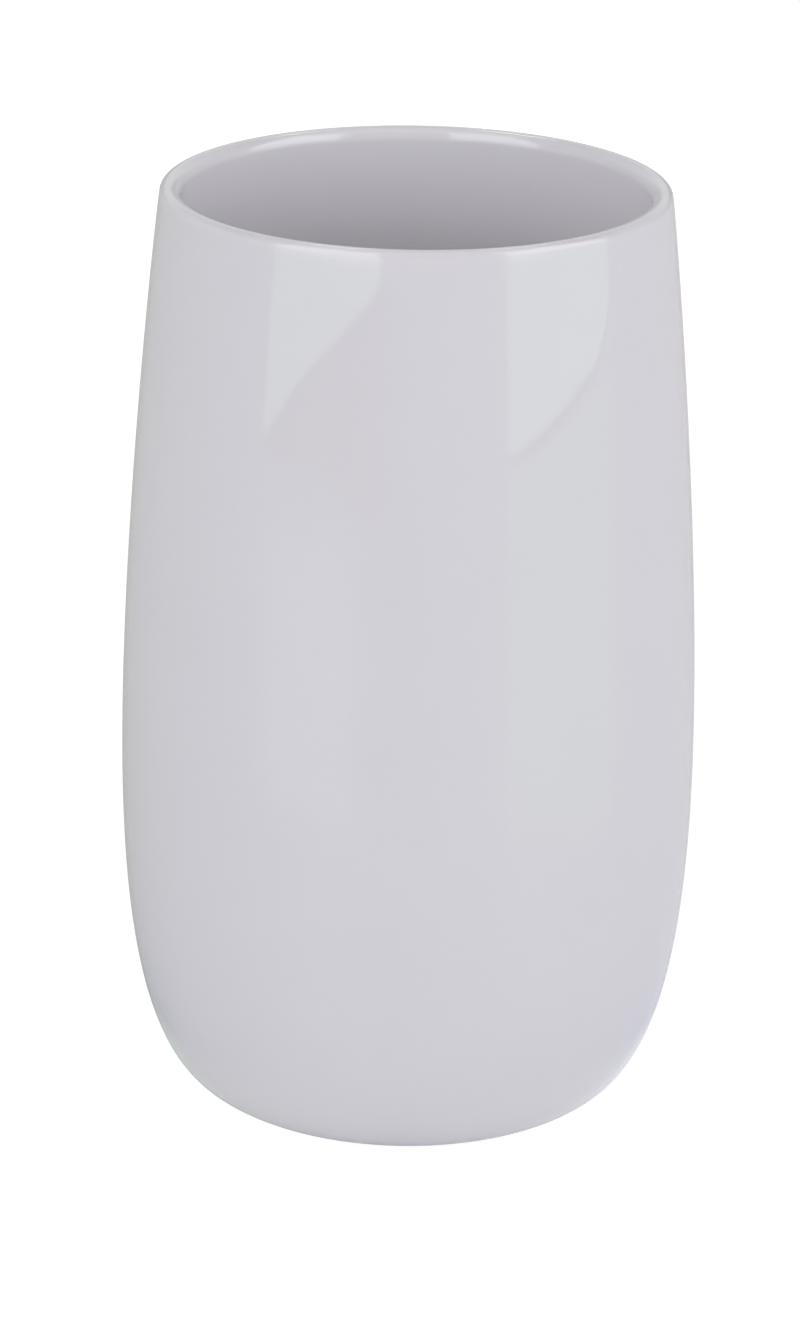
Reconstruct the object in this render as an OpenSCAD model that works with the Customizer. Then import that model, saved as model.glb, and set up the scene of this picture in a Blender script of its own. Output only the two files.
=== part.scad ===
// Bathroom tumbler: a slip-cast clay cup in a coat of glaze, on four soft feet.
// Millimetres, +Z up. The origin is on the standing plane, under the middle of the cup.

/* [Outside] */
// Height of the lip above the standing plane
total_h = 120; // [100:0.5:140]
// Widest diameter, over the glaze
belly_d = 74.5; // [70:0.5:90]
// Height of the widest place above the standing plane
belly_z = 43; // [36:0.5:52]
// Diameter at the lip, over the glaze
mouth_d = 64; // [58:0.2:68]
// Lean of the wall just under the lip, in degrees from upright
lip_lean = 7.4; // [3:0.2:11]
// Outer diameter of the bare ring under the cup
foot_d = 54; // [49:0.5:59]

/* [Wall and floor] */
// Thickness at the lip, with both coats of glaze
lip_wall = 2.6; // [2.2:0.05:3.2]
// Thickness at the belly, with both coats of glaze
belly_wall = 3.6; // [3:0.1:4.4]
// Thickness of the floor over the hollow of the base, with both coats of glaze
floor_t = 4.2; // [3.4:0.1:5.4]
// How far the flat of the inside floor stays within the foot
floor_inset = 2.4; // [1:0.1:5]

/* [Glaze] */
// Thickness of the fired coat
glaze_t = 0.3; // [0.2:0.05:0.4]

/* [Base] */
// Depth of the hollow under the base, before it is glazed
hollow_h = 1.8; // [1.4:0.1:2.4]
// Width of the bare ring round the hollow
ring_w = 3.6; // [2.8:0.1:4.4]
// Height of the ring's side, up to the clay's curve
ring_step = 0.35; // [0.3:0.05:0.6]
// Rounding of the ring's edges
ring_edge_r = 0.3; // [0.2:0.05:0.3]

/* [Feet] */
// Number of soft feet
pad_count = 4; // [3:1:6]
// Diameter of a foot
pad_d = 9.5; // [8:0.1:11]
// How far the feet stand out under the bare ring
pad_stand = 0.5; // [0.3:0.05:1]
// Draft of a foot's side, from its top to its bottom
pad_draft = 0.5; // [0.2:0.05:0.8]
// Rounding of a foot's lower edge
pad_edge_r = 0.4; // [0.2:0.05:0.6]
// Gap between a foot and the curved side of the hollow
pad_gap = 0.8; // [0.4:0.1:1.5]
// Thickness of the adhesive film over a foot
film_t = 0.15; // [0.1:0.05:0.3]
// How far the film stays within the foot's edge
film_inset = 0.3; // [0.1:0.05:0.6]

/* [Hidden] */

glaze_colour = [0.824, 0.816, 0.847];
clay_colour = [0.87, 0.85, 0.82];
pad_colour = [0.80, 0.82, 0.84];
film_colour = [0.72, 0.74, 0.75];

// Heights, from the standing plane up
ring_z = pad_stand;
skin_z = ring_z + ring_step - glaze_t;
hollow_z = ring_z + hollow_h;
seat_z = hollow_z - glaze_t;
floor_z = seat_z + floor_t;

// Radii
belly_r = belly_d / 2;
inner_r = belly_r - belly_wall;
mouth_r = mouth_d / 2;
foot_r = foot_d / 2;
floor_r = foot_r - floor_inset;
hollow_r = foot_r - ring_w;
cove_share = 0.55;
cove_r = cove_share * hollow_h;

// The lip: a narrow outer round, a wide inner round and a sliver of flat between them
lip_outer_share = 0.385;
lip_inner_share = 0.58;
lip_outer_r = lip_outer_share * lip_wall;
lip_inner_r = lip_inner_share * lip_wall;
lip_outer_c = [mouth_r - lip_outer_r, total_h - lip_outer_r];
lip_inner_c = [mouth_r - lip_wall + lip_inner_r, total_h - lip_inner_r];
lip_slope = [sin(lip_lean), -cos(lip_lean)];

// How far each curve of the wall runs on before it turns, as shares of its own reach
foot_run_share = 0.24;
belly_fall_share = 0.885;
belly_rise_share = 0.377;
lip_run_share = 0.11;
floor_run_share = 0.5;
inner_fall_share = 0.85;

rise = total_h - belly_z;
outer_fall = belly_z - skin_z;
inner_fall = belly_z - floor_z;

outer_lower = [
    [foot_r, skin_z],
    [foot_r + foot_run_share * (belly_r - foot_r), skin_z],
    [belly_r, belly_z - belly_fall_share * outer_fall],
    [belly_r, belly_z]
];
outer_lip = lip_outer_c + lip_outer_r * [cos(lip_lean), sin(lip_lean)];
outer_upper = [
    [belly_r, belly_z],
    [belly_r, belly_z + belly_rise_share * rise],
    outer_lip + lip_run_share * rise * lip_slope,
    outer_lip
];
inner_lower = [
    [floor_r, floor_z],
    [floor_r + floor_run_share * (inner_r - floor_r), floor_z],
    [inner_r, belly_z - inner_fall_share * inner_fall],
    [inner_r, belly_z]
];
inner_lip = lip_inner_c - lip_inner_r * [cos(lip_lean), sin(lip_lean)];
inner_upper = [
    [inner_r, belly_z],
    [inner_r, belly_z + belly_rise_share * rise],
    inner_lip + lip_run_share * rise * lip_slope,
    inner_lip
];

// The glaze ends at this share of the lower curve, above the bare ring
bare_share = 0.08;

// Steps along a whole curve of the wall, along its bare stretch, and round a small edge
curve_steps = 24;
bare_steps = 4;
edge_steps = 8;
round_fn = 128;

// Point of a cubic curve through p[0] and p[3], at t from 0 to 1
function on_curve(p, t) =
    p[0] * pow(1 - t, 3)
    + p[1] * 3 * t * pow(1 - t, 2)
    + p[2] * 3 * pow(t, 2) * (1 - t)
    + p[3] * pow(t, 3);

// Direction of travel there, of unit length
function heading(p, t) =
    let (d = (p[1] - p[0]) * pow(1 - t, 2) + (p[2] - p[1]) * 2 * t * (1 - t) + (p[3] - p[2]) * pow(t, 2))
    d / norm(d);

// The curve from t0 up to t1, its last point left out, moved to its left by depth
function curve(p, depth, t0, t1, steps) = [
    for (i = [0 : steps - 1])
        let (t = t0 + (t1 - t0) * i / steps, h = heading(p, t))
            on_curve(p, t) + depth * [-h[1], h[0]]
];

// Arc about c from angle a0 to a1, its last point left out
function arc(c, r, a0, a1) = [
    for (i = [0 : edge_steps - 1])
        let (a = a0 + (a1 - a0) * i / edge_steps)
            c + r * [cos(a), sin(a)]
];

// The cup's surface from the glaze line up, over the lip and down to the middle of the floor,
// sunk into the wall by depth
function surface_line(depth) = concat(
    curve(outer_lower, depth, bare_share, 1, curve_steps),
    curve(outer_upper, depth, 0, 1, curve_steps),
    arc(lip_outer_c, lip_outer_r - depth, lip_lean, 90),
    arc(lip_inner_c, lip_inner_r - depth, 90, 180 + lip_lean),
    curve([for (i = [3 : -1 : 0]) inner_upper[i]], depth, 0, 1, curve_steps),
    curve([for (i = [3 : -1 : 0]) inner_lower[i]], depth, 0, 1, curve_steps),
    [[floor_r, floor_z - depth], [0, floor_z - depth]]
);

// The hollow's curved side, from its ceiling down, within the clay by depth
function cove_line(depth) = concat(
    arc([hollow_r - cove_r, hollow_z - cove_r], cove_r - depth, 90, 0),
    [[hollow_r - depth, hollow_z - cove_r]]
);

function reversed(points) = [for (i = [len(points) - 1 : -1 : 0]) points[i]];

// Place of foot i, counted from 1, with the first one between +X and +Y
pad_ring_r = hollow_r - cove_r - pad_gap - pad_d / 2;
pad_turn = 360 / pad_count;
module at_pad(i) {
    rotate([0, 0, (i - 1 / 2) * pad_turn])
        translate([pad_ring_r, 0, 0])
            children();
}

// The fired clay cup, bare at its foot ring
module clay_body() {
    color(clay_colour)
        rotate_extrude($fn = round_fn)
            polygon(concat(
                curve(outer_lower, glaze_t, 0, bare_share, bare_steps),
                surface_line(glaze_t),
                [[0, hollow_z]],
                cove_line(0),
                arc([hollow_r + ring_edge_r, ring_z + ring_edge_r], ring_edge_r, 180, 270),
                [[hollow_r + ring_edge_r, ring_z]],
                arc([foot_r - ring_edge_r, ring_z + ring_edge_r], ring_edge_r, -90, 0),
                [[foot_r, ring_z + ring_edge_r]]
            ));
}

// The coat outside and inside, in one piece over the lip
module wall_glaze() {
    color(glaze_colour)
        rotate_extrude($fn = round_fn)
            polygon(concat(surface_line(0), reversed(surface_line(glaze_t))));
}

// The coat in the hollow of the base
module base_glaze() {
    color(glaze_colour)
        rotate_extrude($fn = round_fn)
            polygon(concat(
                [[0, hollow_z]],
                cove_line(0),
                [[hollow_r, ring_z + ring_edge_r], [hollow_r - glaze_t, ring_z + ring_edge_r]],
                reversed(cove_line(glaze_t)),
                [[0, seat_z]]
            ));
}

// A soft foot, stuck under the base
module foot_pad(i) {
    top_r = pad_d / 2;
    low_r = top_r - pad_draft;
    color(pad_colour)
        at_pad(i)
            rotate_extrude($fn = round_fn)
                polygon(concat(
                    [[0, 0]],
                    arc([low_r - pad_edge_r, pad_edge_r], pad_edge_r, -90, 0),
                    [[low_r, pad_edge_r], [top_r, seat_z - film_t], [0, seat_z - film_t]]
                ));
}

// The film that holds a foot to the base
module pad_adhesive(i) {
    color(film_colour)
        at_pad(i)
            translate([0, 0, seat_z - film_t])
                cylinder(h = film_t, r = pad_d / 2 - film_inset, $fn = round_fn);
}

clay_body();
wall_glaze();
base_glaze();
for (i = [1 : pad_count]) {
    foot_pad(i);
    pad_adhesive(i);
}
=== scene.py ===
"""Bathroom tumbler: a pale, glossy glazed cup on four soft feet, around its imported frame. Metres."""
import math

import bpy
import numpy as np
from mathutils import Matrix, Vector


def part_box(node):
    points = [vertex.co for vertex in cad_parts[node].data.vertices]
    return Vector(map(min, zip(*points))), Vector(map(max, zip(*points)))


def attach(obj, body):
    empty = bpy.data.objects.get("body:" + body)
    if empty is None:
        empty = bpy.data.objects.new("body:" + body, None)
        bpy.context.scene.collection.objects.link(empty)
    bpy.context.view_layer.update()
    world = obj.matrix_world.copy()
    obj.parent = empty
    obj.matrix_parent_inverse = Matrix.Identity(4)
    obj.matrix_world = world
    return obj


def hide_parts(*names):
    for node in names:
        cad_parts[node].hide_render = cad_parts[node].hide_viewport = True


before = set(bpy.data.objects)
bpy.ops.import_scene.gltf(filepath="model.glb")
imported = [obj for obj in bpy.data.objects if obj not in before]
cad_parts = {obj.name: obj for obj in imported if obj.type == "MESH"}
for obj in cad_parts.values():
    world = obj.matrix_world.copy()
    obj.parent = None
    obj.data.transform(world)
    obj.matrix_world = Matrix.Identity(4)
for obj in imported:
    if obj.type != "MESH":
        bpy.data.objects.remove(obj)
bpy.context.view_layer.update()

# What the frame gives
_, glaze_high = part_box("wall_glaze")
clay_low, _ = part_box("clay_body")
_, patch_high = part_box("base_glaze")
_, pad_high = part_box("foot_pad_1")
film_low, film_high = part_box("pad_adhesive_1")

TOTAL_H = glaze_high.z
BELLY_R = glaze_high.x
RING_Z = clay_low.z
HOLLOW_Z = patch_high.z
PAD_TOP_Z = pad_high.z
FILM_LOW_Z = film_low.z
FILM_TOP_Z = film_high.z
PAD_NAMES = sorted(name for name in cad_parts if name.startswith("foot_pad_"))

# Driving sizes, as in the part
BELLY_Z = 0.043
MOUTH_R = 0.032
LIP_LEAN = math.radians(7.4)
FOOT_R = 0.027
LIP_WALL = 0.0026
BELLY_WALL = 0.0036
FLOOR_T = 0.0042
FLOOR_INSET = 0.0024
GLAZE_T = 0.0003
RING_W = 0.0036
RING_STEP = 0.00035
RING_EDGE_R = 0.0003
PAD_DRAFT = 0.0005
PAD_EDGE_R = 0.0004
COVE_SHARE = 0.55
LIP_OUTER_SHARE = 0.385
LIP_INNER_SHARE = 0.58
FOOT_RUN_SHARE = 0.24
BELLY_FALL_SHARE = 0.885
BELLY_RISE_SHARE = 0.377
LIP_RUN_SHARE = 0.11
FLOOR_RUN_SHARE = 0.5
INNER_FALL_SHARE = 0.85
BARE_SHARE = 0.08

# What follows from them
SKIN_Z = RING_Z + RING_STEP - GLAZE_T
HOLLOW_H = HOLLOW_Z - RING_Z
SEAT_Z = HOLLOW_Z - GLAZE_T
FLOOR_Z = SEAT_Z + FLOOR_T
INNER_R = BELLY_R - BELLY_WALL
FLOOR_R = FOOT_R - FLOOR_INSET
HOLLOW_R = FOOT_R - RING_W
COVE_R = COVE_SHARE * HOLLOW_H
LIP_OUTER_R = LIP_OUTER_SHARE * LIP_WALL
LIP_INNER_R = LIP_INNER_SHARE * LIP_WALL
LIP_OUTER_C = np.array([MOUTH_R - LIP_OUTER_R, TOTAL_H - LIP_OUTER_R])
LIP_INNER_C = np.array([MOUTH_R - LIP_WALL + LIP_INNER_R, TOTAL_H - LIP_INNER_R])
LIP_SLOPE = np.array([math.sin(LIP_LEAN), -math.cos(LIP_LEAN)])
LIP_SIDE = np.array([math.cos(LIP_LEAN), math.sin(LIP_LEAN)])
RISE = TOTAL_H - BELLY_Z
OUTER_LIP = LIP_OUTER_C + LIP_OUTER_R * LIP_SIDE
INNER_LIP = LIP_INNER_C - LIP_INNER_R * LIP_SIDE

# The wall's four curves, as radius and height
OUTER_LOWER = np.array([
    [FOOT_R, SKIN_Z],
    [FOOT_R + FOOT_RUN_SHARE * (BELLY_R - FOOT_R), SKIN_Z],
    [BELLY_R, BELLY_Z - BELLY_FALL_SHARE * (BELLY_Z - SKIN_Z)],
    [BELLY_R, BELLY_Z],
])
OUTER_UPPER = np.array([
    [BELLY_R, BELLY_Z],
    [BELLY_R, BELLY_Z + BELLY_RISE_SHARE * RISE],
    OUTER_LIP + LIP_RUN_SHARE * RISE * LIP_SLOPE,
    OUTER_LIP,
])
INNER_LOWER = np.array([
    [FLOOR_R, FLOOR_Z],
    [FLOOR_R + FLOOR_RUN_SHARE * (INNER_R - FLOOR_R), FLOOR_Z],
    [INNER_R, BELLY_Z - INNER_FALL_SHARE * (BELLY_Z - FLOOR_Z)],
    [INNER_R, BELLY_Z],
])
INNER_UPPER = np.array([
    [INNER_R, BELLY_Z],
    [INNER_R, BELLY_Z + BELLY_RISE_SHARE * RISE],
    INNER_LIP + LIP_RUN_SHARE * RISE * LIP_SLOPE,
    INNER_LIP,
])

# The round of a foot's upper edge, only on the visual pieces
PAD_TOP_EDGE_R = 0.00015

# How far firing pulls the round wall out of true, always inwards
SAG_DEPTH = 0.00004
# Waves of the pull: how many go round, their weight, where they start and how far they turn up to the lip
SAG_WAVES = ((2, 0.55, 0.9, 0), (3, 0.3, 0, -4), (5, 0.15, 0, 9))
# The weight of the even part of the pull, and the share of the whole pull that is left at the foot
SAG_EVEN = 0.15
SAG_AT_FOOT = 0.3

# How far the wiped glaze line wanders, as a share of the lower curve
LINE_WANDER_SHARE = 0.008
# Waves of that line: how many go round, their weight and where they start
LINE_WAVES = ((7, 0.6, 1.1), (17, 0.4, 0))

# Fineness of the meshes
ROUND_STEPS = 256
WALL_STEPS = 36
LIP_STEPS = 14
EDGE_STEPS = 6
FLOOR_RINGS = 12
FLAT_STEPS = 7
PAD_ROUND_STEPS = 96
# Steps over the lower curve, the first of which gives the direction in which the coat ends
GLAZE_END_STEPS = 144
# What is nearer to the axis than this lies on it
ON_AXIS_R = 1e-9

QUARTER_TURN = math.pi / 2
HALF_TURN = math.pi


# Outlines, as radius and height

def along(curve, depth, start, end, steps):
    """Points of a cubic curve from start up to end, the last left out, moved to its left by depth."""
    t = (start + (end - start) * np.arange(steps) / steps)[:, None]
    weights = ((1 - t) ** 3, 3 * t * (1 - t) ** 2, 3 * t ** 2 * (1 - t), t ** 3)
    points = sum(w * p for w, p in zip(weights, curve))
    legs = np.diff(curve, axis=0)
    heading = (1 - t) ** 2 * legs[0] + 2 * t * (1 - t) * legs[1] + t ** 2 * legs[2]
    heading /= np.linalg.norm(heading, axis=1)[:, None]
    return points + depth * np.stack([-heading[:, 1], heading[:, 0]], axis=1)


def arc(centre, radius, start, end, steps=EDGE_STEPS):
    """Points of an arc from the angle start up to end, the last left out."""
    angle = start + (end - start) * np.arange(steps) / steps
    return np.asarray(centre) + radius * np.stack([np.cos(angle), np.sin(angle)], axis=1)


def radii(start, end):
    """Radii from start up to end, the last left out."""
    return np.linspace(start, end, FLAT_STEPS + 1)[:-1]


def level(across, height):
    """Points at those radii, all at one height."""
    return np.stack([across, np.full_like(across, height)], axis=1)


def surface_line(depth, bare_share):
    """The cup's surface from the glaze line over the lip to the middle of the floor, sunk by depth."""
    return np.concatenate([
        along(OUTER_LOWER, depth, bare_share, 1, WALL_STEPS),
        along(OUTER_UPPER, depth, 0, 1, WALL_STEPS),
        arc(LIP_OUTER_C, LIP_OUTER_R - depth, LIP_LEAN, QUARTER_TURN, LIP_STEPS),
        arc(LIP_INNER_C, LIP_INNER_R - depth, QUARTER_TURN, HALF_TURN + LIP_LEAN, LIP_STEPS),
        along(INNER_UPPER[::-1], depth, 0, 1, WALL_STEPS),
        along(INNER_LOWER[::-1], depth, 0, 1, WALL_STEPS),
        level(np.linspace(FLOOR_R, 0, FLOOR_RINGS), FLOOR_Z - depth),
    ])


def cove_line(depth):
    """The curved side of the base's hollow, from its ceiling down, within the clay by depth."""
    return arc((HOLLOW_R - COVE_R, HOLLOW_Z - COVE_R), COVE_R - depth, QUARTER_TURN, 0)


def glaze_end(bare_share):
    """The coat's rounded end at the wiped line, from its clay side to its face."""
    face, following = along(OUTER_LOWER, 0, bare_share, 1, GLAZE_END_STEPS)[:2]
    sunk = along(OUTER_LOWER, GLAZE_T, bare_share, 1, GLAZE_END_STEPS)[0]
    back = (face - following) / np.linalg.norm(face - following)
    middle = (face + sunk) / 2
    angle = HALF_TURN * np.arange(1, EDGE_STEPS)[:, None] / EDGE_STEPS
    return middle + np.cos(angle) * (sunk - middle) + np.sin(angle) * GLAZE_T / 2 * back


def wall_glaze_line(bare_share):
    """Closed outline of the coat outside and inside."""
    return np.concatenate([
        surface_line(0, bare_share),
        surface_line(GLAZE_T, bare_share)[::-1],
        glaze_end(bare_share),
    ])


def clay_line():
    """Outline of the fired cup, from the bare slope over the ring's hollow to the foot."""
    ring_in = HOLLOW_R + RING_EDGE_R
    ring_out = FOOT_R - RING_EDGE_R
    edge_z = RING_Z + RING_EDGE_R
    return np.concatenate([
        along(OUTER_LOWER, GLAZE_T, 0, BARE_SHARE, EDGE_STEPS),
        surface_line(GLAZE_T, BARE_SHARE),
        level(radii(0, HOLLOW_R - COVE_R), HOLLOW_Z),
        cove_line(0),
        arc((ring_in, edge_z), RING_EDGE_R, HALF_TURN, HALF_TURN + QUARTER_TURN),
        level(radii(ring_in, ring_out), RING_Z),
        arc((ring_out, edge_z), RING_EDGE_R, -QUARTER_TURN, 0),
        [[FOOT_R, edge_z]],
    ])


def base_glaze_line():
    """Outline of the coat in the hollow of the base, with a rounded lower end."""
    across = radii(0, HOLLOW_R - COVE_R)
    end_c = (HOLLOW_R - GLAZE_T / 2, RING_Z + RING_EDGE_R + GLAZE_T / 2)
    return np.concatenate([
        level(across, SEAT_Z),
        cove_line(GLAZE_T),
        arc(end_c, GLAZE_T / 2, 0, -HALF_TURN)[::-1],
        cove_line(0)[::-1],
        level(across[::-1], HOLLOW_Z),
    ])


def pad_line(radius):
    """Outline of a soft foot, from the middle of its underside up."""
    low_r = radius - PAD_DRAFT
    across = radii(0, low_r - PAD_EDGE_R)
    return np.concatenate([
        level(across, 0),
        arc((low_r - PAD_EDGE_R, PAD_EDGE_R), PAD_EDGE_R, -QUARTER_TURN, 0),
        [[low_r, PAD_EDGE_R]],
        arc((radius - PAD_TOP_EDGE_R, PAD_TOP_Z - PAD_TOP_EDGE_R), PAD_TOP_EDGE_R, 0, QUARTER_TURN),
        level(across[::-1], PAD_TOP_Z),
    ])


def film_line(radius):
    """Outline of the film over a foot."""
    edge_r = (FILM_TOP_Z - FILM_LOW_Z) / 2
    across = radii(0, radius - edge_r)
    return np.concatenate([
        level(across, FILM_LOW_Z),
        arc((radius - edge_r, FILM_LOW_Z + edge_r), edge_r, -QUARTER_TURN, QUARTER_TURN),
        level(across[::-1], FILM_TOP_Z),
    ])


# Meshes

def placed(name, verts, faces):
    """A mesh object in the scene."""
    mesh = bpy.data.meshes.new(name)
    mesh.from_pydata(verts, [], faces)
    piece = bpy.data.objects.new(name, mesh)
    bpy.context.scene.collection.objects.link(piece)
    return piece


def sag_share(azimuth, height):
    """How much of the firing's pull shows at a place, from 0 to 1."""
    share = height / TOTAL_H
    wave = SAG_EVEN
    for count, weight, start, turn in SAG_WAVES:
        wave += weight * math.sin(count * azimuth + start + turn * share)
    return min(1, max(0, 0.5 + 0.5 * wave)) * (SAG_AT_FOOT + (1 - SAG_AT_FOOT) * share)


def wandering_share(azimuth):
    """Where the wiped glaze line lies at an azimuth, as a share of the lower curve."""
    wander = sum(weight * math.sin(count * azimuth + start) for count, weight, start in LINE_WAVES)
    return BARE_SHARE + LINE_WANDER_SHARE * wander


def turned(name, outlines, centre=(0, 0), out_of_true=0.0):
    """A mesh object turned from one outline per azimuth step; points on the axis become one."""
    steps = len(outlines)
    outline = outlines[0]
    count = len(outline)
    verts = []
    index = np.zeros((steps, count), int)
    for j in range(count):
        on_axis = outline[j][0] < ON_AXIS_R
        for i in range(steps):
            if on_axis and i:
                index[i, j] = index[0, j]
                continue
            radius, height = outlines[i][j]
            azimuth = 2 * math.pi * i / steps
            radius -= out_of_true * sag_share(azimuth, height) * min(1, radius / FOOT_R)
            index[i, j] = len(verts)
            verts.append((
                centre[0] + radius * math.cos(azimuth),
                centre[1] + radius * math.sin(azimuth),
                height,
            ))
    faces = []
    for i in range(steps):
        k = (i + 1) % steps
        for j in range(count):
            m = (j + 1) % count
            corners = [index[i, j], index[k, j], index[k, m], index[i, m]]
            ring = [int(c) for n, c in enumerate(corners) if c != corners[n - 1]]
            if len(ring) > 2:
                faces.append(ring)
    piece = placed(name, verts, faces)
    piece.data.validate()
    piece.data.shade_smooth()
    return piece


# Helpers for the nodes of a material

WHITE = (1, 1, 1, 1)
# The share of a dot's size within which it is full
DOT_CORE_SHARE = 0.6


def node(tree, kind, settings=None, **inputs):
    """A new node with its settings and the values of its inputs."""
    made = tree.nodes.new(kind)
    for key, value in (settings or {}).items():
        setattr(made, key, value)
    for key, value in inputs.items():
        made.inputs[key.replace("_", " ")].default_value = value
    return made


def feed(tree, socket, value):
    """Gives a socket a value: a link from another socket, or a constant of its own."""
    if isinstance(value, bpy.types.NodeSocket):
        tree.links.new(value, socket)
    else:
        socket.default_value = value


def place(tree):
    """The object's own coordinates, in metres."""
    return tree.nodes.new("ShaderNodeTexCoord").outputs["Object"]


def parts_of(tree, vector):
    """The X, Y and Z of a vector."""
    made = node(tree, "ShaderNodeSeparateXYZ")
    tree.links.new(vector, made.inputs[0])
    return made.outputs


def length(tree, vector):
    """The length of a vector."""
    made = node(tree, "ShaderNodeVectorMath", {"operation": "LENGTH"})
    tree.links.new(vector, made.inputs[0])
    return made.outputs["Value"]


def from_axis(tree, parts):
    """How far a place is from the upright axis."""
    flat = node(tree, "ShaderNodeCombineXYZ")
    for axis in "XY":
        tree.links.new(parts[axis], flat.inputs[axis])
    return length(tree, flat.outputs[0])


def noise(tree, scale, detail=2.0, roughness=0.5):
    """A noise with that many features a metre."""
    made = node(tree, "ShaderNodeTexNoise", Scale=scale, Detail=detail, Roughness=roughness)
    tree.links.new(place(tree), made.inputs["Vector"])
    return made.outputs["Fac"]


def ranged(tree, value, low, high, to_low=0, to_high=1, step="LINEAR"):
    """A value carried from one range to another, held at its ends."""
    made = node(tree, "ShaderNodeMapRange", {"clamp": True, "interpolation_type": step})
    for socket, number in zip(("From Min", "From Max", "To Min", "To Max"), (low, high, to_low, to_high)):
        made.inputs[socket].default_value = number
    tree.links.new(value, made.inputs["Value"])
    return made.outputs["Result"]


def smooth(tree, value, low, high):
    """0 below low, 1 above high, and a smooth step between."""
    return ranged(tree, value, low, high, step="SMOOTHSTEP")


def mixed(tree, share, first, second):
    """A colour from first to second by share."""
    made = node(tree, "ShaderNodeMix", {"data_type": "RGBA"})
    tree.links.new(share, made.inputs["Factor"])
    sockets = [socket for socket in made.inputs if socket.type == "RGBA"]
    for socket, colour in zip(sockets, (first, second)):
        feed(tree, socket, (*colour, 1) if isinstance(colour, tuple) else colour)
    return next(socket for socket in made.outputs if socket.type == "RGBA")


def combined(tree, operation, first, second):
    """Two values taken together by a Math operation."""
    made = node(tree, "ShaderNodeMath", {"operation": operation})
    for socket, value in zip(made.inputs, (first, second)):
        feed(tree, socket, value)
    return made.outputs[0]


def bumped(tree, height, distance, onto=None):
    """A normal bumped by a height, laid over another normal if given."""
    made = node(tree, "ShaderNodeBump", Strength=1.0, Distance=distance)
    tree.links.new(height, made.inputs["Height"])
    if onto is not None:
        tree.links.new(onto, made.inputs["Normal"])
    return made.outputs["Normal"]


def dots(tree, cells, size, kept_share):
    """Small round dots, 1 in the middle and 0 outside, in that share of a cell pattern."""
    made = node(tree, "ShaderNodeTexVoronoi", Scale=cells)
    tree.links.new(place(tree), made.inputs["Vector"])
    spot = ranged(tree, made.outputs["Distance"], size * cells * DOT_CORE_SHARE, size * cells, 1, 0)
    pick = node(tree, "ShaderNodeSeparateColor")
    tree.links.new(made.outputs["Color"], pick.inputs[0])
    kept = combined(tree, "LESS_THAN", pick.outputs[0], kept_share)
    return combined(tree, "MULTIPLY", spot, kept)


def shaded(name):
    """A new node material, its tree and its Principled shader."""
    made = bpy.data.materials.new(name)
    made.use_nodes = True
    return made, made.node_tree, made.node_tree.nodes["Principled BSDF"]


def feed_shader(tree, shader, inputs):
    """Links or sets the shader's inputs."""
    for name, value in inputs.items():
        feed(tree, shader.inputs[name], value)


# The cup's materials

# Between which values of a noise a cloud grows from none to full, and a grain from none to full
CLOUD_SPAN = (0.35, 0.65)
GRAIN_SPAN = (0.3, 0.7)

# Colours, ranges of roughness and the heights of bumps
GLAZE_MAIN = (0.640, 0.627, 0.668)
GLAZE_THICKER = (0.634, 0.621, 0.663)
GLAZE_LIP = (0.643, 0.630, 0.671)
GLAZE_PAINTED_LIGHT = (0.675, 0.661, 0.705)
GLAZE_SPECK = (0.42, 0.40, 0.42)
GLAZE_ROUGHNESS = (0.018, 0.034)
PEEL_DEPTH = 0.0000016
SWELL_DEPTH = 0.00001
PIT_DEPTH = 0.00001
# How far down from the top the glaze turns a little lighter at the lip
LIP_COLOUR_H = 0.0016
# Painted light inside, under the lip: a band of the glaze is painted lighter as if more light fell there.
# How far from the top it starts, is fullest and ends again, and how far within the mouth's radius it is
# full and none
PAINTED_LIGHT_START, PAINTED_LIGHT_FULL, PAINTED_LIGHT_END = 0.0085, 0.0015, 0.0008
PAINTED_LIGHT_WITHIN, PAINTED_LIGHT_NONE = 0.0018, 0.0013

CLAY_PALE = (0.735, 0.690, 0.628)
CLAY_TAN = (0.665, 0.618, 0.555)
CLAY_GRAIN = (0.80, 0.76, 0.70)
CLAY_SPECK = (0.36, 0.31, 0.27)
CLAY_CLOUD_SPAN = (0.35, 0.68)
CLAY_GRAIN_SPAN = (0.55, 0.75)
CLAY_GRAIN_SHARE = 0.5
CLAY_ROUGHNESS = (0.82, 0.95)
CLAY_FINE_DEPTH = 0.00003
CLAY_COARSE_DEPTH = 0.00004

SILICONE_PALE = (0.66, 0.69, 0.71)
SILICONE_DEEP = (0.60, 0.63, 0.65)
SILICONE_DUST = (0.40, 0.40, 0.40)
SILICONE_ROUGHNESS = (0.34, 0.5)
SILICONE_SKIN_DEPTH = 0.000012
SILICONE_SCATTER = (0.002, 0.002, 0.002)

FILM_CLEAR = (0.55, 0.57, 0.58)
FILM_BUBBLE = (0.70, 0.72, 0.73)
FILM_ROUGHNESS = (0.22, 0.5)
FILM_BUBBLE_DEPTH = 0.00002


def painted_light_share(tree, parts):
    """How much painted light lies on the glaze inside, under the lip: most just below it, none deeper down.
    """
    height = parts["Z"]
    within = ranged(tree, from_axis(tree, parts), MOUTH_R - PAINTED_LIGHT_WITHIN, MOUTH_R - PAINTED_LIGHT_NONE, 1, 0)
    under = ranged(tree, height, TOTAL_H - PAINTED_LIGHT_START, TOTAL_H - PAINTED_LIGHT_FULL)
    beyond = ranged(tree, height, TOTAL_H - PAINTED_LIGHT_FULL, TOTAL_H - PAINTED_LIGHT_END, 1, 0)
    return combined(tree, "MULTIPLY", within, combined(tree, "MULTIPLY", under, beyond))


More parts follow.
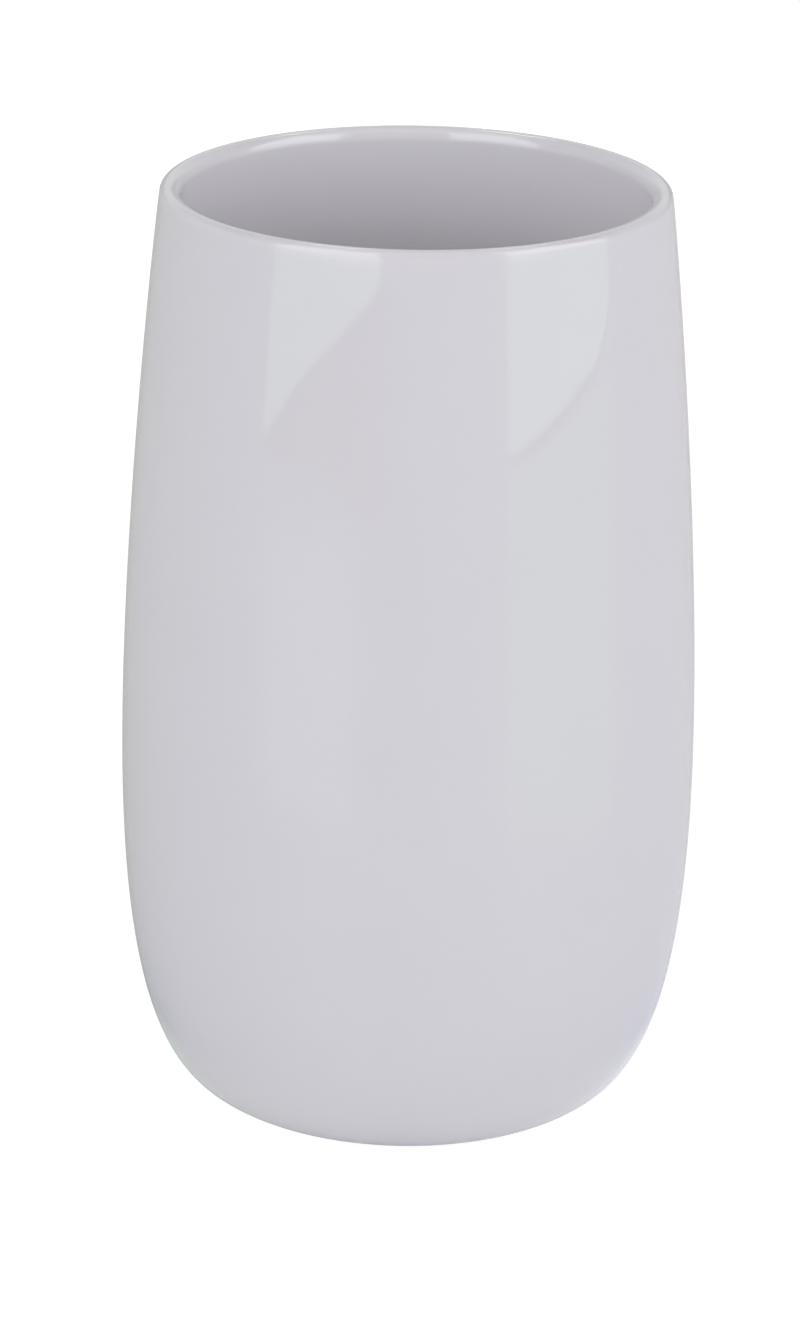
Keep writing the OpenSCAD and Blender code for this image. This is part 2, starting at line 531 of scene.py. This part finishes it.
def glaze_material():
    """Pale lavender grey glaze: glossy, a little uneven, with a few tiny specks and pits, and painted light
    inside under the lip.
    """
    made, tree, shader = shaded("glossy_glaze")
    parts = parts_of(tree, place(tree))
    cloud = ranged(tree, noise(tree, scale=55, detail=3, roughness=0.55), *CLOUD_SPAN)
    at_lip = ranged(tree, parts["Z"], TOTAL_H - LIP_COLOUR_H, TOTAL_H)
    specks = dots(tree, cells=160, size=0.00011, kept_share=0.035)
    colour = mixed(tree, cloud, GLAZE_MAIN, GLAZE_THICKER)
    colour = mixed(tree, at_lip, colour, GLAZE_LIP)
    # Painted light: the glaze inside just under the lip is made lighter in colour
    colour = mixed(tree, painted_light_share(tree, parts), colour, GLAZE_PAINTED_LIGHT)
    colour = mixed(tree, specks, colour, GLAZE_SPECK)
    haze = noise(tree, scale=240, detail=4, roughness=0.6)
    peel = bumped(tree, noise(tree, scale=420), PEEL_DEPTH)
    swell = bumped(tree, noise(tree, scale=70, detail=1), SWELL_DEPTH, peel)
    pits = bumped(tree, dots(tree, cells=210, size=0.00009, kept_share=0.05), -PIT_DEPTH, swell)
    feed_shader(tree, shader, {
        "Base Color": colour,
        "Roughness": ranged(tree, haze, *GRAIN_SPAN, *GLAZE_ROUGHNESS),
        "Normal": pits,
        "IOR": 1.5,
        "Specular IOR Level": 0.5,
    })
    return made


def clay_material():
    """Bare fired clay: matte and grained, with small dark specks."""
    made, tree, shader = shaded("bare_clay")
    grain = noise(tree, scale=3200, detail=3, roughness=0.65)
    cloud = ranged(tree, noise(tree, scale=260, detail=4, roughness=0.6), *CLAY_CLOUD_SPAN)
    light_grain = ranged(tree, grain, *CLAY_GRAIN_SPAN, 0, CLAY_GRAIN_SHARE)
    colour = mixed(tree, cloud, CLAY_PALE, CLAY_TAN)
    colour = mixed(tree, light_grain, colour, CLAY_GRAIN)
    colour = mixed(tree, dots(tree, cells=900, size=0.00007, kept_share=0.10), colour, CLAY_SPECK)
    fine = bumped(tree, grain, CLAY_FINE_DEPTH)
    feed_shader(tree, shader, {
        "Base Color": colour,
        "Roughness": ranged(tree, grain, *GRAIN_SPAN, *CLAY_ROUGHNESS),
        "Normal": bumped(tree, noise(tree, scale=700), CLAY_COARSE_DEPTH, fine),
        "Specular IOR Level": 0.25,
    })
    return made


def silicone_material():
    """Milky clear silicone rubber with a satin moulded skin."""
    made, tree, shader = shaded("soft_silicone")
    cloud = ranged(tree, noise(tree, scale=500, detail=3), *CLOUD_SPAN)
    colour = mixed(tree, cloud, SILICONE_PALE, SILICONE_DEEP)
    colour = mixed(tree, dots(tree, cells=1100, size=0.00005, kept_share=0.12), colour, SILICONE_DUST)
    skin = noise(tree, scale=2600, detail=3, roughness=0.6)
    feed_shader(tree, shader, {
        "Base Color": colour,
        "Roughness": ranged(tree, skin, *GRAIN_SPAN, *SILICONE_ROUGHNESS),
        "Normal": bumped(tree, skin, SILICONE_SKIN_DEPTH),
        "IOR": 1.41,
        "Transmission Weight": 0.35,
        "Subsurface Weight": 0.3,
        "Subsurface Radius": SILICONE_SCATTER,
    })
    return made


def film_material():
    """Clear adhesive film with small trapped bubbles."""
    made, tree, shader = shaded("adhesive_film")
    bubbles = dots(tree, cells=1500, size=0.00012, kept_share=0.3)
    feed_shader(tree, shader, {
        "Base Color": mixed(tree, bubbles, FILM_CLEAR, FILM_BUBBLE),
        "Roughness": ranged(tree, bubbles, 0, 1, *FILM_ROUGHNESS),
        "Normal": bumped(tree, bubbles, FILM_BUBBLE_DEPTH),
        "IOR": 1.47,
        "Transmission Weight": 0.4,
    })
    return made


# The pieces of the cup

def dress(piece, node_name, look):
    """Gives a piece its material and its place on the frame."""
    piece.data.materials.append(look)
    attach(piece, "root")
    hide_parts(node_name)


def make_cup():
    """The fired cup and its two coats."""
    glaze = glaze_material()
    azimuths = 2 * math.pi * np.arange(ROUND_STEPS) / ROUND_STEPS
    wandering = [wall_glaze_line(wandering_share(azimuth)) for azimuth in azimuths]
    coat = turned("glaze_coat", wandering, out_of_true=SAG_DEPTH)
    dress(coat, "wall_glaze", glaze)
    patch = turned("base_glaze_coat", [base_glaze_line()] * ROUND_STEPS, out_of_true=SAG_DEPTH)
    dress(patch, "base_glaze", glaze)
    clay = turned("clay_cup", [clay_line()] * ROUND_STEPS, out_of_true=SAG_DEPTH)
    dress(clay, "clay_body", clay_material())


def make_feet():
    """The soft feet and the films that hold them."""
    silicone = silicone_material()
    film = film_material()
    for name in PAD_NAMES:
        number = name.rsplit("_", 1)[1]
        film_name = "pad_adhesive_" + number
        low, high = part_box(name)
        disc_low, disc_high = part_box(film_name)
        centre = (low + high) / 2
        foot_outline = pad_line((high.x - low.x) / 2)
        foot = turned("soft_foot_" + number, [foot_outline] * PAD_ROUND_STEPS, centre)
        dress(foot, name, silicone)
        disc_outline = film_line((disc_high.x - disc_low.x) / 2)
        disc = turned("foot_film_" + number, [disc_outline] * PAD_ROUND_STEPS, centre)
        dress(disc, film_name, film)


# Camera

CAMERA_DISTANCE = 0.544896
CAMERA_TARGET = Vector((0, 0, 0.060275))
CAMERA_ELEVATION = math.radians(20.4448)
CAMERA_TILT = math.radians(-0.3807)
CAMERA_PAN = math.radians(0.1305)
CAMERA_ROLL = math.radians(0.8731)
CAMERA_CLIP = 0.01
LENS = 0.1144366
SENSOR = 0.036
MM_PER_M = 1000


def make_camera():
    """The photo's camera: aimed at the target, then panned, tilted and rolled a little."""
    data = bpy.data.cameras.new("camera")
    data.lens = LENS * MM_PER_M
    data.sensor_width = SENSOR * MM_PER_M
    data.clip_start = CAMERA_CLIP
    camera = bpy.data.objects.new("camera", data)
    bpy.context.scene.collection.objects.link(camera)
    away = Vector((0, -math.cos(CAMERA_ELEVATION), math.sin(CAMERA_ELEVATION)))
    turn = Matrix.Rotation(CAMERA_PAN, 4, "Z")
    turn @= Matrix.Rotation(QUARTER_TURN - CAMERA_ELEVATION + CAMERA_TILT, 4, "X")
    turn @= Matrix.Rotation(CAMERA_ROLL, 4, "Z")
    camera.matrix_world = Matrix.Translation(CAMERA_TARGET + CAMERA_DISTANCE * away) @ turn
    bpy.context.scene.camera = camera


# Helpers for the looks of the stage

def stage_material(name):
    """A new material, its emptied tree and the socket for what it shows."""
    made = bpy.data.materials.new(name)
    made.use_nodes = True
    tree = made.node_tree
    tree.nodes.clear()
    return made, tree, node(tree, "ShaderNodeOutputMaterial").inputs["Surface"]


def shader_mix(tree, share, first, second):
    """A shader from first to second by share."""
    made = node(tree, "ShaderNodeMixShader")
    for socket, source in zip(made.inputs, (share, first, second)):
        tree.links.new(source, socket)
    return made.outputs[0]


def added(tree, first, second):
    """Two shaders added up."""
    made = node(tree, "ShaderNodeAddShader")
    for socket, source in zip(made.inputs, (first, second)):
        tree.links.new(source, socket)
    return made.outputs[0]


def by_ray(tree, to_others, to_gloss, to_camera):
    """One look for the camera, one for what gloss and clear materials show, and one for all other rays."""
    rays = node(tree, "ShaderNodeLightPath").outputs
    mirrored = combined(tree, "MAXIMUM", rays["Is Glossy Ray"], rays["Is Transmission Ray"])
    to_unseen = shader_mix(tree, mirrored, to_others, to_gloss)
    return shader_mix(tree, rays["Is Camera Ray"], to_unseen, to_camera)


def towards_side(tree, parts, axis, sign):
    """How far a direction points to a side, from 0 to 1."""
    return combined(tree, "MAXIMUM", combined(tree, "MULTIPLY", parts[axis], sign), 0.0)


# Table and surround

SIDES = {"right": ("X", 1), "left": ("X", -1), "front": ("Y", -1), "back": ("Y", 1)}

HALF_FLOOR = 4.0
# Corners of a square, from its middle
SQUARE = ((-1, -1), (1, -1), (1, 1), (-1, 1))

# What the table sends back of the light that falls on it, to most rays, to the camera and to gloss
TABLE_GREY = 0.8
TABLE_GREY_SEEN = 0.25
TABLE_GREY_MIRRORED = 0.3
# The white that the camera sees besides
TABLE_WHITE = (0.90, 0.90, 0.90)
# How much of a clear mirror the table's face is, and how it shines for the cup towards each side
TABLE_POLISH = 0.1
TABLE_HAZE = 0.03
TABLE_IOR = 1.5
TABLE_SHINE = {
    "even": (0.0, 0.0, 0.161),
    "right": (0.443, 0.474, 0.447),
    "left": (0.06, 0.12, 0.0),
    "front": (0.0, 0.0, 0.03),
    "back": (0.26, 0.225, 0.07),
}

# The surround's light in bands of height, even all round and more towards each side
SOFT_LIGHT = {
    "low": {"even": 0.421, "right": 1.041, "front": 0.441},
    "ring": {"even": 1.513, "right": 1.011, "left": 1.312, "front": 1.358, "back": 0.09},
    "high": {"even": 0.02, "left": 0.17, "front": 0.571, "back": 0.097},
}
MIRRORED_LIGHT = {
    "low": {"even": 0.475, "back": 0.063},
    "ring": {"even": 0.35, "back": 0.9},
    "high": {"even": 0.45, "back": 1.0},
    "top": {"even": 1.4},
}
# Where the ring of light starts and ends and where the top starts, as the height of a direction of length 1
RING_START = (0.12, 0.28)
RING_END = (0.42, 0.58)
TOP_START = (0.75, 0.98)


def shadowed_white(tree, share, white):
    """White with a share of the light that falls there, so that a shadow still shows."""
    matte = node(tree, "ShaderNodeBsdfDiffuse", Color=(share, share, share, 1))
    light = node(tree, "ShaderNodeEmission", Color=(*white, 1), Strength=1.0)
    return added(tree, matte.outputs[0], light.outputs[0])


def floor_material():
    """A table: white with the cup's shadow to the camera, shining to gloss, and matte to the rest."""
    made, tree, shown = stage_material("white_table")
    matte = node(tree, "ShaderNodeBsdfDiffuse", Color=(TABLE_GREY, TABLE_GREY, TABLE_GREY, 1))
    mirror = node(tree, "ShaderNodeBsdfGlossy", Color=WHITE, Roughness=TABLE_HAZE)
    fresnel = node(tree, "ShaderNodeFresnel", IOR=TABLE_IOR)
    unit = node(tree, "ShaderNodeVectorMath", {"operation": "NORMALIZE"})
    tree.links.new(place(tree), unit.inputs[0])
    parts = parts_of(tree, unit.outputs["Vector"])
    shine = shadowed_white(tree, TABLE_GREY_MIRRORED, TABLE_SHINE["even"])
    for side, (axis, sign) in SIDES.items():
        light = node(tree, "ShaderNodeEmission", Color=(*TABLE_SHINE[side], 1))
        tree.links.new(towards_side(tree, parts, axis, sign), light.inputs["Strength"])
        shine = added(tree, shine, light.outputs[0])
    polish = combined(tree, "MULTIPLY", fresnel.outputs[0], TABLE_POLISH)
    to_gloss = shader_mix(tree, polish, shine, mirror.outputs[0])
    to_camera = shadowed_white(tree, TABLE_GREY_SEEN, TABLE_WHITE)
    tree.links.new(by_ray(tree, matte.outputs[0], to_gloss, to_camera), shown)
    return made


def banded(tree, bands, from_side, strengths):
    """The sum over the bands of their even light and of their light from each side."""
    total = 0.0
    for name, sides in strengths.items():
        for side, radiance in sides.items():
            share = radiance if side == "even" else combined(tree, "MULTIPLY", from_side[side], radiance)
            total = combined(tree, "ADD", combined(tree, "MULTIPLY", bands[name], share), total)
    return total


def make_world():
    """A surround that is white to the camera, with bands of light for gloss and others for the rest."""
    world = bpy.data.worlds.new("studio")
    bpy.context.scene.world = world
    world.use_nodes = True
    tree = world.node_tree
    tree.nodes.clear()
    output = node(tree, "ShaderNodeOutputWorld")
    parts = parts_of(tree, node(tree, "ShaderNodeTexCoord").outputs["Generated"])
    above_low = smooth(tree, parts["Z"], *RING_START)
    above_ring = smooth(tree, parts["Z"], *RING_END)
    bands = {
        "low": combined(tree, "SUBTRACT", 1.0, above_low),
        "ring": combined(tree, "SUBTRACT", above_low, above_ring),
        "high": above_ring,
        "top": smooth(tree, parts["Z"], *TOP_START),
    }
    from_side = {side: towards_side(tree, parts, axis, sign) for side, (axis, sign) in SIDES.items()}
    lights = []
    for strengths in (SOFT_LIGHT, MIRRORED_LIGHT):
        light = node(tree, "ShaderNodeBackground", Color=WHITE)
        tree.links.new(banded(tree, bands, from_side, strengths), light.inputs["Strength"])
        lights.append(light.outputs[0])
    seen = node(tree, "ShaderNodeBackground", Color=WHITE, Strength=1.0)
    tree.links.new(by_ray(tree, *lights, seen.outputs[0]), output.inputs["Surface"])


# Cards that only gloss shows

# The table's edges to the right and to the left as the cup mirrors them, where the two tall cards stand
RIGHT_LINE = (
    (0.404, -0.509), (0.460, -0.460), (0.522, -0.407), (0.566, -0.354), (0.612, -0.299), (0.656, -0.239),
    (0.683, -0.170), (0.701, -0.124), (0.735, -0.084), (0.784, -0.048), (0.860, 0.000),
)
LEFT_LINE = (
    (-0.556, -0.296), (-0.596, -0.405), (-0.636, -0.515), (-0.670, -0.624), (-0.688, -0.760),
    (-0.698, -1.100), (-0.694, -1.500), (-0.668, -1.900), (-0.690, -2.570),
)
# Where the cards' upper edges lie, point by point over the same lines
RIGHT_TOP_LINE = (
    (0.500, -0.420), (0.510, -0.415), (0.522, -0.407), (0.566, -0.354), (0.612, -0.299), (0.656, -0.239),
    (0.683, -0.170), (0.701, -0.124), (0.735, -0.084), (0.784, -0.048), (0.860, 0.300),
)
LEFT_TOP_LINE = (
    (-0.600, -0.040), (-0.610, -0.300), (-0.636, -0.515), (-0.670, -0.624), (-0.688, -0.760),
    (-0.698, -1.100), (-0.694, -1.400), (-0.694, -1.480), (-0.694, -1.500),
)
# The height from which elevations count
EYE_Z = 0.119
# The cards' radiance at elevations in degrees, of which the last is where a card ends
RIGHT_GLOW = (
    (-10, (1.13, 1.71, 1.40)),
    (-1.5, (1.13, 1.71, 1.40)),
    (0.5, (2.7, 2.8, 2.7)),
    (10, (2.5, 2.6, 2.5)),
    (18, (2.4, 2.5, 2.4)),
    (27, (3.2, 3.2, 3.1)),
    (35, (5.2, 5.2, 5.0)),
    (43, (3.0, 3.0, 2.9)),
    (52, (4.4, 4.4, 4.3)),
    (61, (5.2, 5.2, 5.0)),
)
LEFT_GLOW = (
    (-10, (0.95, 1.42, 1.16)),
    (-1.5, (0.95, 1.42, 1.16)),
    (0.5, (2.4, 2.6, 2.5)),
    (14, (2.8, 2.9, 2.8)),
    (20, (2.2, 2.3, 2.2)),
    (28, (2.6, 2.7, 2.6)),
    (34, (4.2, 4.2, 4.1)),
    (42, (4.2, 4.2, 4.1)),
    (50, (3.0, 3.0, 2.9)),
    (58, (3.1, 3.1, 3.0)),
    (63, (5.0, 5.0, 4.9)),
    (67, (5.0, 5.0, 4.9)),
)

# The dark edge of the table under the right card
EDGE_SHADE_H = 0.0047
EDGE_SHADE_RADIANCE = 0.2

# The table's front left corner, with the dark room between it and the left card
CORNER_LINE = (
    (-0.528, -0.281), (-0.491, -0.361), (-0.437, -0.440), (-0.360, -0.491), (-0.269, -0.510),
    (-0.187, -0.520), (-0.106, -0.505), (-0.053, -0.499), (-0.250, -2.570),
)
DARK_Z = 0.0005
DARK_RADIANCE = 0.02
# Between which shares of x over y the dark room fades in
DARK_FADE = (0.10, 0.28)

# Where the table shines at the foot of each card, as far as the cup mirrors it
RIGHT_SHINE = (
    (0.081, -0.112), (0.104, -0.144), (0.156, -0.211), (0.230, -0.304), (0.404, -0.509),
    (0.860, 0.000), (0.527, -0.027), (0.461, -0.032), (0.356, -0.037), (0.272, -0.037),
    (0.206, -0.034), (0.151, -0.032), (0.117, -0.032),
)
LEFT_SHINE = (
    (-0.046, -0.133), (-0.059, -0.171), (-0.086, -0.234), (-0.122, -0.314), (-0.173, -0.424),
    (-0.200, -0.480), (-0.470, -0.330), (-0.467, -0.258), (-0.343, -0.208), (-0.253, -0.167),
    (-0.185, -0.132), (-0.131, -0.105), (-0.098, -0.087),
)
# The light close under the cup
FOOT_SHINE_R = 0.055
FOOT_SHINE_CORNERS = 48
FOOT_SHINE = tuple(
    (FOOT_SHINE_R * math.cos(2 * math.pi * i / FOOT_SHINE_CORNERS),
     FOOT_SHINE_R * math.sin(2 * math.pi * i / FOOT_SHINE_CORNERS))
    for i in range(FOOT_SHINE_CORNERS)
)
SHINE_Z = 0.0003
# Each shine's outline and colour, and the distances from the middle between which it fades in and out. The
# light under the cup starts at the middle, so it fades in below 0
SHINES = {
    "right_shine": (RIGHT_SHINE, (0.0, 0.38, 0.03), (0.115, 0.175, 0.60, 0.70)),
    "left_shine": (LEFT_SHINE, (0.32, 0.31, 0.50), (0.135, 0.185, 0.38, 0.56)),
    "foot_shine": (FOOT_SHINE, (0.32, 0.34, 0.22), (-0.02, -0.01, 0.031, 0.042)),
}

# The two lamps behind: azimuth and elevation in degrees, and radiance
LAMPS = {"right_lamp": (167, 47, 6.0), "left_lamp": (-169, 49, 9.0)}
# How far away they are, and half their sizes in degrees
LAMP_AWAY = 1.5
LAMP_HALF_WIDTH = 5
LAMP_HALF_HEIGHT = 3


def stage_piece(name, corners, faces, look):
    """A piece of the stage."""
    piece = placed(name, corners, faces)
    piece.data.materials.append(look)
    return piece


def mirrored_piece(name, corners, faces, look):
    """A piece of the stage that only gloss shows."""
    piece = stage_piece(name, corners, faces, look)
    piece.visible_camera = False
    piece.visible_diffuse = False
    piece.visible_shadow = False
    piece.visible_transmission = False


def mirrored_plane(name, corners, look):
    """A flat piece of the stage through its corners that only gloss shows."""
    mirrored_piece(name, corners, [tuple(range(len(corners)))], look)


def glow(name, stops):
    """A glowing look, its colour set by how steeply a place is seen from the eye over the middle."""
    made, tree, shown = stage_material(name)
    parts = parts_of(tree, place(tree))
    above = combined(tree, "SUBTRACT", parts["Z"], EYE_Z)
    angle = combined(tree, "ARCTAN2", above, from_axis(tree, parts))
    lowest, highest = stops[0][0], stops[-1][0]
    brightest = max(max(colour) for _, colour in stops)
    ramp = node(tree, "ShaderNodeValToRGB")
    elements = ramp.color_ramp.elements
    while len(elements) < len(stops):
        elements.new(1.0)
    for element, (elevation, colour) in zip(elements, stops):
        element.position = (elevation - lowest) / (highest - lowest)
        element.color = (*(part / brightest for part in colour), 1)
    tree.links.new(ranged(tree, angle, math.radians(lowest), math.radians(highest)), ramp.inputs[0])
    light = node(tree, "ShaderNodeEmission", Strength=brightest)
    tree.links.new(ramp.outputs[0], light.inputs["Color"])
    tree.links.new(light.outputs[0], shown)
    return made


def even_glow(name, radiance):
    """A look that glows evenly."""
    made, tree, shown = stage_material(name)
    light = node(tree, "ShaderNodeEmission", Color=WHITE, Strength=radiance)
    tree.links.new(light.outputs[0], shown)
    return made


def dark_look(name, radiance, clear_side, dark_side):
    """A dark look that fades out towards the front, between two shares of x over y."""
    made, tree, shown = stage_material(name)
    parts = parts_of(tree, place(tree))
    share = smooth(tree, combined(tree, "DIVIDE", parts["X"], parts["Y"]), clear_side, dark_side)
    clear = node(tree, "ShaderNodeBsdfTransparent")
    light = node(tree, "ShaderNodeEmission", Color=WHITE, Strength=radiance)
    tree.links.new(shader_mix(tree, share, clear.outputs[0], light.outputs[0]), shown)
    return made


def shine_look(name, colour, near_start, near_end, far_start, far_end):
    """A light added to what lies under it, between two distances from the middle."""
    made, tree, shown = stage_material(name)
    away = length(tree, place(tree))
    near = smooth(tree, away, near_start, near_end)
    far = smooth(tree, away, far_start, far_end)
    light = node(tree, "ShaderNodeEmission", Color=(*colour, 1))
    tree.links.new(combined(tree, "SUBTRACT", near, far), light.inputs["Strength"])
    clear = node(tree, "ShaderNodeBsdfTransparent")
    tree.links.new(added(tree, clear.outputs[0], light.outputs[0]), shown)
    return made


def tall_card(name, line, top_line, low, stops):
    """A card over a line on the table, upright to the eye's height and then leaning to another line."""
    slope = math.tan(math.radians(stops[-1][0]))
    bottoms = [(x, y, low) for x, y in line]
    middles = [(x, y, EYE_Z) for x, y in line]
    tops = [(x, y, EYE_Z + math.hypot(x, y) * slope) for x, y in top_line]
    count = len(line)
    faces = [(i, i + 1, count + i + 1, count + i) for i in range(2 * count - 1) if i != count - 1]
    mirrored_piece(name, bottoms + middles + tops, faces, glow(name, stops))


def make_cards():
    """The tall cards, whose images are the strips on the cup, and what is dark beside them."""
    tall_card("right_card", RIGHT_LINE, RIGHT_TOP_LINE, EDGE_SHADE_H, RIGHT_GLOW)
    tall_card("left_card", LEFT_LINE, LEFT_TOP_LINE, 0, LEFT_GLOW)
    edge = [(x, y, 0) for x, y in RIGHT_LINE] + [(x, y, EDGE_SHADE_H) for x, y in reversed(RIGHT_LINE)]
    mirrored_plane("table_edge_shade", edge, even_glow("table_edge_shade", EDGE_SHADE_RADIANCE))
    room = [(x, y, DARK_Z) for x, y in (*CORNER_LINE, *reversed(LEFT_LINE))]
    mirrored_plane("dark_room", room, dark_look("dark_room", DARK_RADIANCE, *DARK_FADE))


def make_shines():
    """The light that the table adds at the cards' feet and under the cup."""
    for name, (outline, colour, fade) in SHINES.items():
        corners = [(x, y, SHINE_Z) for x, y in outline]
        mirrored_plane(name, corners, shine_look(name, colour, *fade))


def make_lamps():
    """The lamps behind, whose images lie on the lip."""
    for name, (azimuth, elevation, radiance) in LAMPS.items():
        corners = []
        for across, up in SQUARE:
            turn = math.radians(azimuth + across * LAMP_HALF_WIDTH)
            rise = math.radians(elevation + up * LAMP_HALF_HEIGHT)
            corners.append((
                LAMP_AWAY * math.sin(turn) * math.cos(rise),
                -LAMP_AWAY * math.cos(turn) * math.cos(rise),
                EYE_Z + LAMP_AWAY * math.sin(rise),
            ))
        mirrored_plane(name, corners, even_glow(name, radiance))


def make_floor():
    """The table's face."""
    corners = [(HALF_FLOOR * x, HALF_FLOOR * y, 0) for x, y in SQUARE]
    stage_piece("floor", corners, [(0, 1, 2, 3)], floor_material())


bpy.context.scene.view_settings.view_transform = "Standard"
make_camera()
make_world()
make_cards()
make_shines()
make_lamps()
make_floor()
make_cup()
make_feet()
